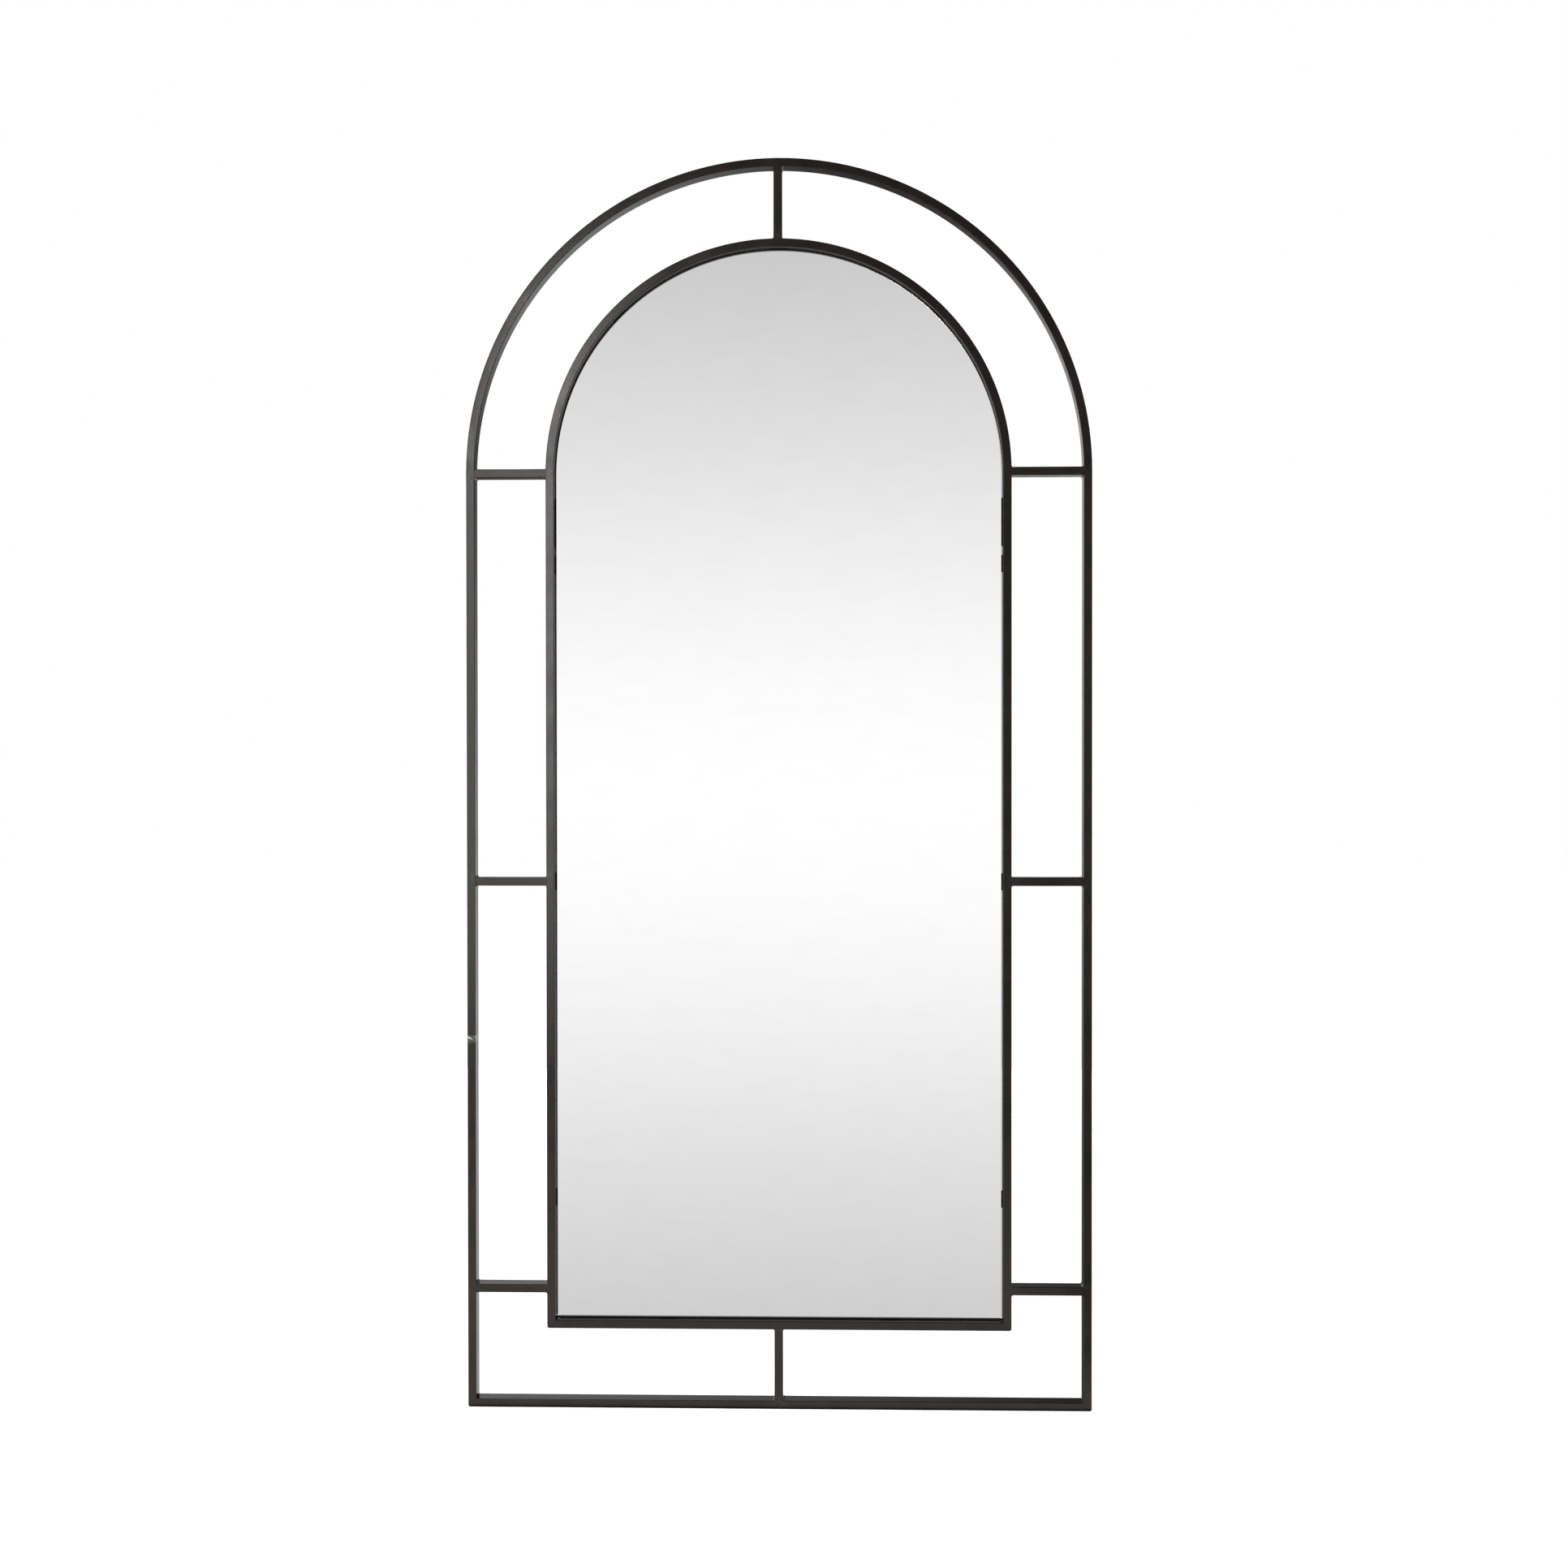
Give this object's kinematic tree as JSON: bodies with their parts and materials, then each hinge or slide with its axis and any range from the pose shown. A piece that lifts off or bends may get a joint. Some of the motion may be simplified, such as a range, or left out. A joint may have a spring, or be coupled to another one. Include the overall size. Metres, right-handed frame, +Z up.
{
  "type": "arched window mirror",
  "caption": "Tall arched wall mirror in a welded steel tube window frame, its glass set back in an inner arch joined to an outer arch by short spacers, with swinging D-ring hangers behind.",
  "frame": {"origin": "middle of the outer bottom rail's underside, halfway through the tube's depth", "axes": "+X to the right as the glass is faced, +Y back towards the wall, +Z up"},
  "size_m": [0.9, 0.031, 1.7999],
  "materials": {
    "frame_paint": "satin",
    "mirror": "polished",
    "board": "matte",
    "foam_tape": "matte",
    "zinc": "satin",
    "bumper": "matte"
  },
  "bodies": {
    "frame": {"outer_arch": "frame_paint", "outer_left_stile": "frame_paint", "outer_right_stile": "frame_paint", "outer_bottom_rail": "frame_paint", "inner_arch": "frame_paint", "inner_left_stile": "frame_paint", "inner_right_stile": "frame_paint", "inner_bottom_rail": "frame_paint", "spacer_top": "frame_paint", "spacer_bottom": "frame_paint", "spacer_upper_left": "frame_paint", "spacer_upper_right": "frame_paint", "spacer_middle_left": "frame_paint", "spacer_middle_right": "frame_paint", "spacer_lower_left": "frame_paint", "spacer_lower_right": "frame_paint", "tab_left_1": "frame_paint", "tab_left_2": "frame_paint", "tab_left_3": "frame_paint", "tab_right_1": "frame_paint", "tab_right_2": "frame_paint", "tab_right_3": "frame_paint", "tab_arch_1": "frame_paint", "tab_arch_2": "frame_paint", "tab_arch_3": "frame_paint", "tab_bottom_left": "frame_paint", "tab_bottom_right": "frame_paint", "mirror_glass": "mirror", "back_board": "board", "tape_strip_1": "foam_tape", "tape_strip_2": "foam_tape", "tape_strip_3": "foam_tape", "tape_strip_4": "foam_tape", "tape_strip_5": "foam_tape", "panel_screws": "zinc", "hanger_screws": "zinc", "hanger_plate_left": "frame_paint", "hanger_strap_left": "zinc", "bumper_lower_left": "bumper", "bumper_upper_left": "bumper", "hanger_plate_right": "frame_paint", "hanger_strap_right": "zinc", "bumper_lower_right": "bumper", "bumper_upper_right": "bumper"},
    "left_ring": {"hanger_ring_left": "zinc"},
    "right_ring": {"hanger_ring_right": "zinc"}
  },
  "joints": [
    {"name": "left_ring_swing", "type": "hinge", "parent": "frame", "child": "left_ring", "pos_m": [-0.305, 0.0153, 1.3], "axis": [1, 0, 0], "range_deg": [0, 180]},
    {"name": "right_ring_swing", "type": "hinge", "parent": "frame", "child": "right_ring", "pos_m": [0.305, 0.0153, 1.3], "axis": [1, 0, 0], "range_deg": [0, 180]}
  ]
}
